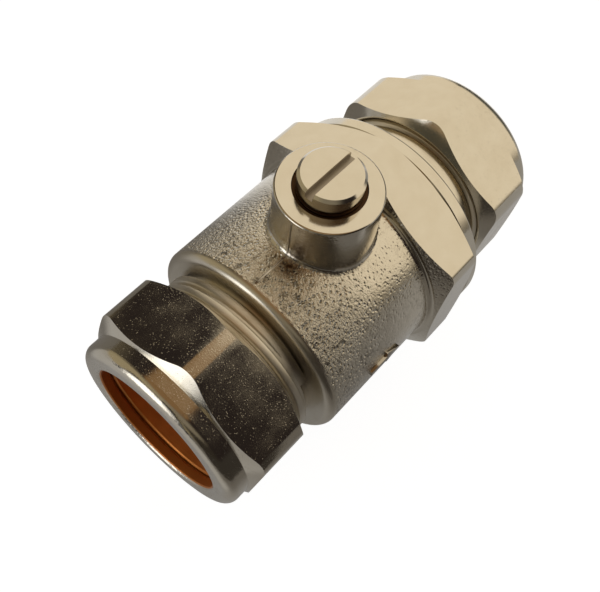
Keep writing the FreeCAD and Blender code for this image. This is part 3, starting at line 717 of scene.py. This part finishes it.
class VALVE_OT_stage(bpy.types.Operator):
    """Sets up the table, the light tent, the white card, the dark flag and the camera"""

    bl_idname = "valve.stage"
    bl_label = "Set the stage"

    def execute(self, context):
        scene = context.scene
        scene.view_settings.view_transform = "Standard"
        stage = scene.valve_stage
        height = CAD_BOX[0][2] - 0.05 * MM
        self.white_surround(scene)
        self.table(scene, stage, height)
        self.tent(scene, stage, height)
        self.white_card(scene, stage, height)
        self.dark_flag(scene, stage, height)
        self.camera(scene, stage)
        return {"FINISHED"}

    @staticmethod
    def sheet(scene, name, points, material):
        """Grid of points (rows, columns, 3) as one sheet of quads."""
        index = np.arange(points.shape[0] * points.shape[1]).reshape(points.shape[:2])
        quads = np.stack([index[:-1, :-1], index[:-1, 1:], index[1:, 1:], index[1:, :-1]], axis=-1)
        mesh = bpy.data.meshes.new(name)
        mesh.from_pydata(points.reshape(-1, 3).tolist(), [], quads.reshape(-1, 4).tolist())
        mesh.materials.append(material)
        piece = bpy.data.objects.new(name, mesh)
        scene.collection.objects.link(piece)
        return piece

    @staticmethod
    def bare_material(name):
        """Node material with nothing but its output."""
        material = bpy.data.materials.new(name)
        material.use_nodes = True
        material.node_tree.nodes.clear()
        return material, material.node_tree, add(material.node_tree, "ShaderNodeOutputMaterial", {}, {})

    @staticmethod
    def white_surround(scene):
        """White world behind the table, for the camera and for what mirrors or passes it on."""
        world = bpy.data.worlds.new("White surround")
        world.use_nodes = True
        tree = world.node_tree
        tree.nodes.clear()
        path = add(tree, "ShaderNodeLightPath", {}, {}).outputs
        mirrored = add(tree, "ShaderNodeMath", LARGER, {
            0: path["Is Glossy Ray"], 1: path["Is Transmission Ray"]})
        shown = add(tree, "ShaderNodeMath", LARGER, {
            0: path["Is Camera Ray"], 1: mirrored.outputs[0]})
        back = add(tree, "ShaderNodeBackground", {}, {"Color": WHITE, "Strength": shown.outputs[0]})
        add(tree, "ShaderNodeOutputWorld", {}, {"Surface": back.outputs[0]})
        scene.world = world

    @staticmethod
    def mirrored_share(tree, place, stage):
        """Strength of the table's glow in mirrors, a painted light: a wedge to the outlet, before the mouth,
        and close by.
        """
        axes = add(tree, "ShaderNodeSeparateXYZ", {}, {"Vector": place}).outputs
        aside = add(tree, "ShaderNodeMath", UNSIGNED, {0: axes["Y"]}).outputs[0]
        close_by = add(tree, "ShaderNodeMapRange", SOFT, {
            "Value": aside, "From Min": 40 * MM, "From Max": 18 * MM,
            "To Min": 0.06, "To Max": 0.2}).outputs[0]
        # Painted light: in mirrors the table glows in a wedge that opens towards the outlet, as if the lit
        # cloth lit it there.
        lean = add(tree, "ShaderNodeMath", TIMES_PLUS, {0: aside, 1: -0.52, 2: axes["X"]}).outputs[0]
        wedge = add(tree, "ShaderNodeMapRange", SOFT, {
            "Value": lean, "From Min": -4 * MM, "From Max": 18 * MM}).outputs[0]
        level = add(tree, "ShaderNodeMapRange", {}, {
            "Value": axes["Y"], "From Min": -20 * MM, "From Max": 20 * MM,
            "To Min": 0.26, "To Max": stage.table_mirrored}).outputs[0]
        outlet_side = add(tree, "ShaderNodeMath", TIMES, {0: wedge, 1: level}).outputs[0]
        inlet_side = add(tree, "ShaderNodeMapRange", {}, {
            "Value": axes["X"], "From Min": -24 * MM, "From Max": -34 * MM, "To Max": 0.32}).outputs[0]
        before_mouth = add(tree, "ShaderNodeMapRange", SOFT, {
            "Value": axes["Y"], "From Min": -45 * MM, "From Max": -20 * MM}).outputs[0]
        inlet_side = add(tree, "ShaderNodeMath", TIMES, {0: inlet_side, 1: before_mouth}).outputs[0]
        share = add(tree, "ShaderNodeMath", LARGER, {0: close_by, 1: outlet_side}).outputs[0]
        return add(tree, "ShaderNodeMath", LARGER, {0: share, 1: inlet_side}).outputs[0]

    def table(self, scene, stage, height):
        """Pale table top: a glow whitens it for the camera, and its matt part takes the object's shadow."""
        material, tree, output = self.bare_material("Pale table top")
        path = add(tree, "ShaderNodeLightPath", {}, {}).outputs
        mirrored = add(tree, "ShaderNodeMath", LARGER, {
            0: path["Is Glossy Ray"], 1: path["Is Transmission Ray"]}).outputs[0]
        place = add(tree, "ShaderNodeTexCoord", {}, {}).outputs["Object"]
        share = self.mirrored_share(tree, place, stage)
        mirrored = add(tree, "ShaderNodeMath", TIMES, {0: mirrored, 1: share}).outputs[0]
        # Less light falls on the table near the tent's foot and none beyond it, so there it glows fully.
        away = add(tree, "ShaderNodeVectorMath", LENGTH, {0: place}).outputs["Value"]
        white = add(tree, "ShaderNodeMapRange", {}, {
            "Value": away, "From Min": 0.3, "From Max": 0.8,
            "To Min": stage.table_glow, "To Max": 1.0}).outputs[0]
        glow = add(tree, "ShaderNodeMath", TIMES_PLUS, {
            0: path["Is Camera Ray"], 1: white, 2: mirrored}).outputs[0]
        light = add(tree, "ShaderNodeEmission", {}, {"Color": WHITE, "Strength": glow})
        matt = add(tree, "ShaderNodeBsdfDiffuse", {}, {"Color": linear(stage.table_matt)})
        both = add(tree, "ShaderNodeAddShader", {}, {0: light.outputs[0], 1: matt.outputs[0]})
        tree.links.new(both.outputs[0], output.inputs["Surface"])
        half = 4
        x, y = np.meshgrid(np.linspace(-half, half, 2), np.linspace(-half, half, 2))
        return self.sheet(scene, "pale_table", np.stack([x, y, 0 * x + height], axis=-1), material)

    @staticmethod
    def tent_zones(tree, stage):
        """Shares and colours of the tent's zones, in the order in which they are laid over the dark cloth."""
        size = stage.tent_radius
        place = add(tree, "ShaderNodeTexCoord", {}, {}).outputs["Object"]
        toward = add(tree, "ShaderNodeVectorMath", ALONG, {
            0: place, 1: (1 / size, 0, 0.15 / size)}).outputs["Value"]
        rise = add(tree, "ShaderNodeVectorMath", ALONG, {0: place, 1: (0, 0, 1 / size)}).outputs["Value"]
        # Behind the inlet end: dark below, lighter above, and a beige wall on the far side.
        shade = add(tree, "ShaderNodeMapRange", SOFT, {
            "Value": toward, "From Min": 0.0, "From Max": -0.45}).outputs[0]
        upper = add(tree, "ShaderNodeMapRange", SOFT, {
            "Value": rise, "From Min": 0.3, "From Max": 0.55}).outputs[0]
        rear = add(tree, "ShaderNodeMath", TIMES, {0: shade, 1: upper}).outputs[0]
        behind = add(tree, "ShaderNodeVectorMath", ALONG, {
            0: place, 1: (-1 / size, 0.8 / size, 0)}).outputs["Value"]
        wall = add(tree, "ShaderNodeMapRange", SOFT, {
            "Value": behind, "From Min": 0.48, "From Max": 0.85}).outputs[0]
        roof = add(tree, "ShaderNodeMapRange", SOFT, {
            "Value": rise, "From Min": 0.82, "From Max": 0.85}).outputs[0]
        # Around the outlet end: lit cloth, its shaded foot on either side, and the grey opening.
        lit = add(tree, "ShaderNodeMapRange", SOFT, {
            "Value": toward, "From Min": 0.38, "From Max": 0.49}).outputs[0]
        low_near = add(tree, "ShaderNodeVectorMath", ALONG, {
            0: place, 1: (0, -1 / size, -0.8 / size)}).outputs["Value"]
        hem = add(tree, "ShaderNodeMapRange", SOFT, {
            "Value": low_near, "From Min": 0.55, "From Max": 0.82}).outputs[0]
        hem = add(tree, "ShaderNodeMath", TIMES, {0: hem, 1: lit}).outputs[0]
        low_far = add(tree, "ShaderNodeVectorMath", ALONG, {
            0: place, 1: (0, 1 / size, -0.8 / size)}).outputs["Value"]
        far_hem = add(tree, "ShaderNodeMapRange", SOFT, {
            "Value": low_far, "From Min": 0.6, "From Max": 0.78}).outputs[0]
        brow = add(tree, "ShaderNodeMapRange", SOFT, {
            "Value": toward, "From Min": 0.5, "From Max": 0.44}).outputs[0]
        far_hem = add(tree, "ShaderNodeMath", TIMES, {0: far_hem, 1: brow}).outputs[0]
        far_hem = add(tree, "ShaderNodeMath", TIMES, {0: far_hem, 1: lit}).outputs[0]
        end = add(tree, "ShaderNodeMapRange", SOFT, {
            "Value": toward, "From Min": 0.82, "From Max": 0.94}).outputs[0]
        return ((shade, stage.tent_low), (rear, stage.tent_rear), (roof, stage.tent_brown),
                (wall, stage.tent_wall), (lit, stage.tent_warm), (hem, stage.tent_hem),
                (far_hem, stage.tent_dark), (end, stage.tent_end))

    def tent(self, scene, stage, height):
        """Half-ball tent over the table. Its cloth is dark around the camera and lit at the outlet end.

        Point (lon, lat) goes to radius times (cos lat cos lon, cos lat sin lon, sin lat).
        """
        lon, lat = np.meshgrid(np.linspace(0, 2 * math.pi, 97), np.linspace(0, math.pi / 2, 25))
        ball = np.stack([np.cos(lat) * np.cos(lon), np.cos(lat) * np.sin(lon), np.sin(lat)], axis=-1)
        middle = np.array([14 * MM, 0, height])
        points = ball * stage.tent_radius + middle
        material, tree, output = self.bare_material("Tent cloth")
        cloth = linear(stage.tent_dark)
        for share, colour in self.tent_zones(tree, stage):
            cloth = add(tree, "ShaderNodeMix", COLOUR, {0: share, 6: cloth, 7: linear(colour)}).outputs[2]
        glow = add(tree, "ShaderNodeEmission", {}, {"Color": cloth, "Strength": 1.0})
        tree.links.new(glow.outputs[0], output.inputs["Surface"])
        tent = self.sheet(scene, "light_tent", points, material)
        tent.visible_camera = False
        return tent

    def white_card(self, scene, stage, height):
        """Lit white card that stands before the inlet, draws the white edges and lights the bore."""
        material, tree, output = self.bare_material("Lit white card")
        before_inlet = -125 * MM
        brightest = (before_inlet, 44 * MM, 24 * MM)
        place = add(tree, "ShaderNodeTexCoord", {}, {}).outputs["Object"]
        aside = add(tree, "ShaderNodeVectorMath", DISTANCE, {0: place, 1: brightest}).outputs["Value"]
        fall = add(tree, "ShaderNodeMapRange", SOFT, {
            "Value": aside, "From Min": 72 * MM, "From Max": 24 * MM, "To Max": stage.card_strength})
        glow = add(tree, "ShaderNodeEmission", {}, {"Color": WHITE, "Strength": fall.outputs[0]})
        tree.links.new(glow.outputs[0], output.inputs["Surface"])
        y, z = np.meshgrid(np.linspace(-30 * MM, 118 * MM, 2), np.linspace(height + 1 * MM, 98 * MM, 2))
        card = self.sheet(scene, "white_card", np.stack([0 * y + before_inlet, y, z], axis=-1), material)
        card.visible_camera = False
        return card

    def dark_flag(self, scene, stage, height):
        """Low dark strip beside the inlet end, seen only in the metal, where it darkens the lower edges."""
        material, tree, output = self.bare_material("Dark flag")
        beside = -50 * MM
        glow = add(tree, "ShaderNodeEmission", {}, {"Color": linear(stage.flag_dark), "Strength": 1.0})
        tree.links.new(glow.outputs[0], output.inputs["Surface"])
        x, z = np.meshgrid(np.linspace(-90 * MM, -2 * MM, 2), np.linspace(height + 0.5 * MM, 8 * MM, 2))
        flag = self.sheet(scene, "dark_flag", np.stack([x, 0 * x + beside, z], axis=-1), material)
        flag.visible_camera = False
        flag.visible_diffuse = False
        flag.visible_shadow = False
        return flag

    def camera(self, scene, stage):
        """Camera close above the inlet end, turned by azimuth, elevation and roll."""
        lens = bpy.data.cameras.new("photo_camera")
        lens.sensor_width = 36
        lens.lens = stage.lens
        lens.clip_start = 0.002
        lens.clip_end = 20
        azimuth = stage.camera_azimuth
        elevation = stage.camera_elevation
        back = np.array([math.sin(azimuth) * math.cos(elevation), -math.cos(azimuth) * math.cos(elevation),
                         math.sin(elevation)])
        right = np.cross(-back, [0, 0, 1])
        right = right / np.linalg.norm(right)
        up = np.cross(right, -back)
        roll = stage.camera_roll
        turned_right = math.cos(roll) * right + math.sin(roll) * up
        turned_up = -math.sin(roll) * right + math.cos(roll) * up
        camera = bpy.data.objects.new("photo_camera", lens)
        turn = Matrix((turned_right, turned_up, back)).transposed().to_4x4()
        turn.translation = stage.camera_place
        camera.matrix_world = turn
        scene.collection.objects.link(camera)
        scene.camera = camera


class VALVE_PT_panel(bpy.types.Panel):
    """Lists the steps that dress the valve"""

    bl_idname = "VALVE_PT_panel"
    bl_label = "Isolating valve"
    bl_space_type = "VIEW_3D"
    bl_region_type = "UI"
    bl_category = "Valve"

    def draw(self, context):
        for step in STEPS:
            self.layout.operator(step.bl_idname)
        for group in (context.scene.valve_sizes, context.scene.valve_colours, context.scene.valve_stage):
            column = self.layout.column()
            for name in group.bl_rna.properties.keys():
                if name not in ("rna_type", "name"):
                    column.prop(group, name)


STEPS = (VALVE_OT_plated_metal, VALVE_OT_inner_pieces, VALVE_OT_spigot_threads, VALVE_OT_nut_threads,
         VALVE_OT_forging_marks, VALVE_OT_stage)
CLASSES = (ValveSizes, ValveColours, ValveStage, *STEPS, VALVE_PT_panel)


def register():
    for kind in CLASSES:
        bpy.utils.register_class(kind)
    bpy.types.Scene.valve_sizes = bpy.props.PointerProperty(type=ValveSizes)
    bpy.types.Scene.valve_colours = bpy.props.PointerProperty(type=ValveColours)
    bpy.types.Scene.valve_stage = bpy.props.PointerProperty(type=ValveStage)


def unregister():
    del bpy.types.Scene.valve_stage
    del bpy.types.Scene.valve_colours
    del bpy.types.Scene.valve_sizes
    for kind in reversed(CLASSES):
        bpy.utils.unregister_class(kind)


def main():
    register()
    bpy.ops.valve.plated_metal()
    bpy.ops.valve.inner_pieces()
    bpy.ops.valve.spigot_threads()
    bpy.ops.valve.nut_threads()
    bpy.ops.valve.forging_marks()
    bpy.ops.valve.stage()


if __name__ == "__main__":
    main()
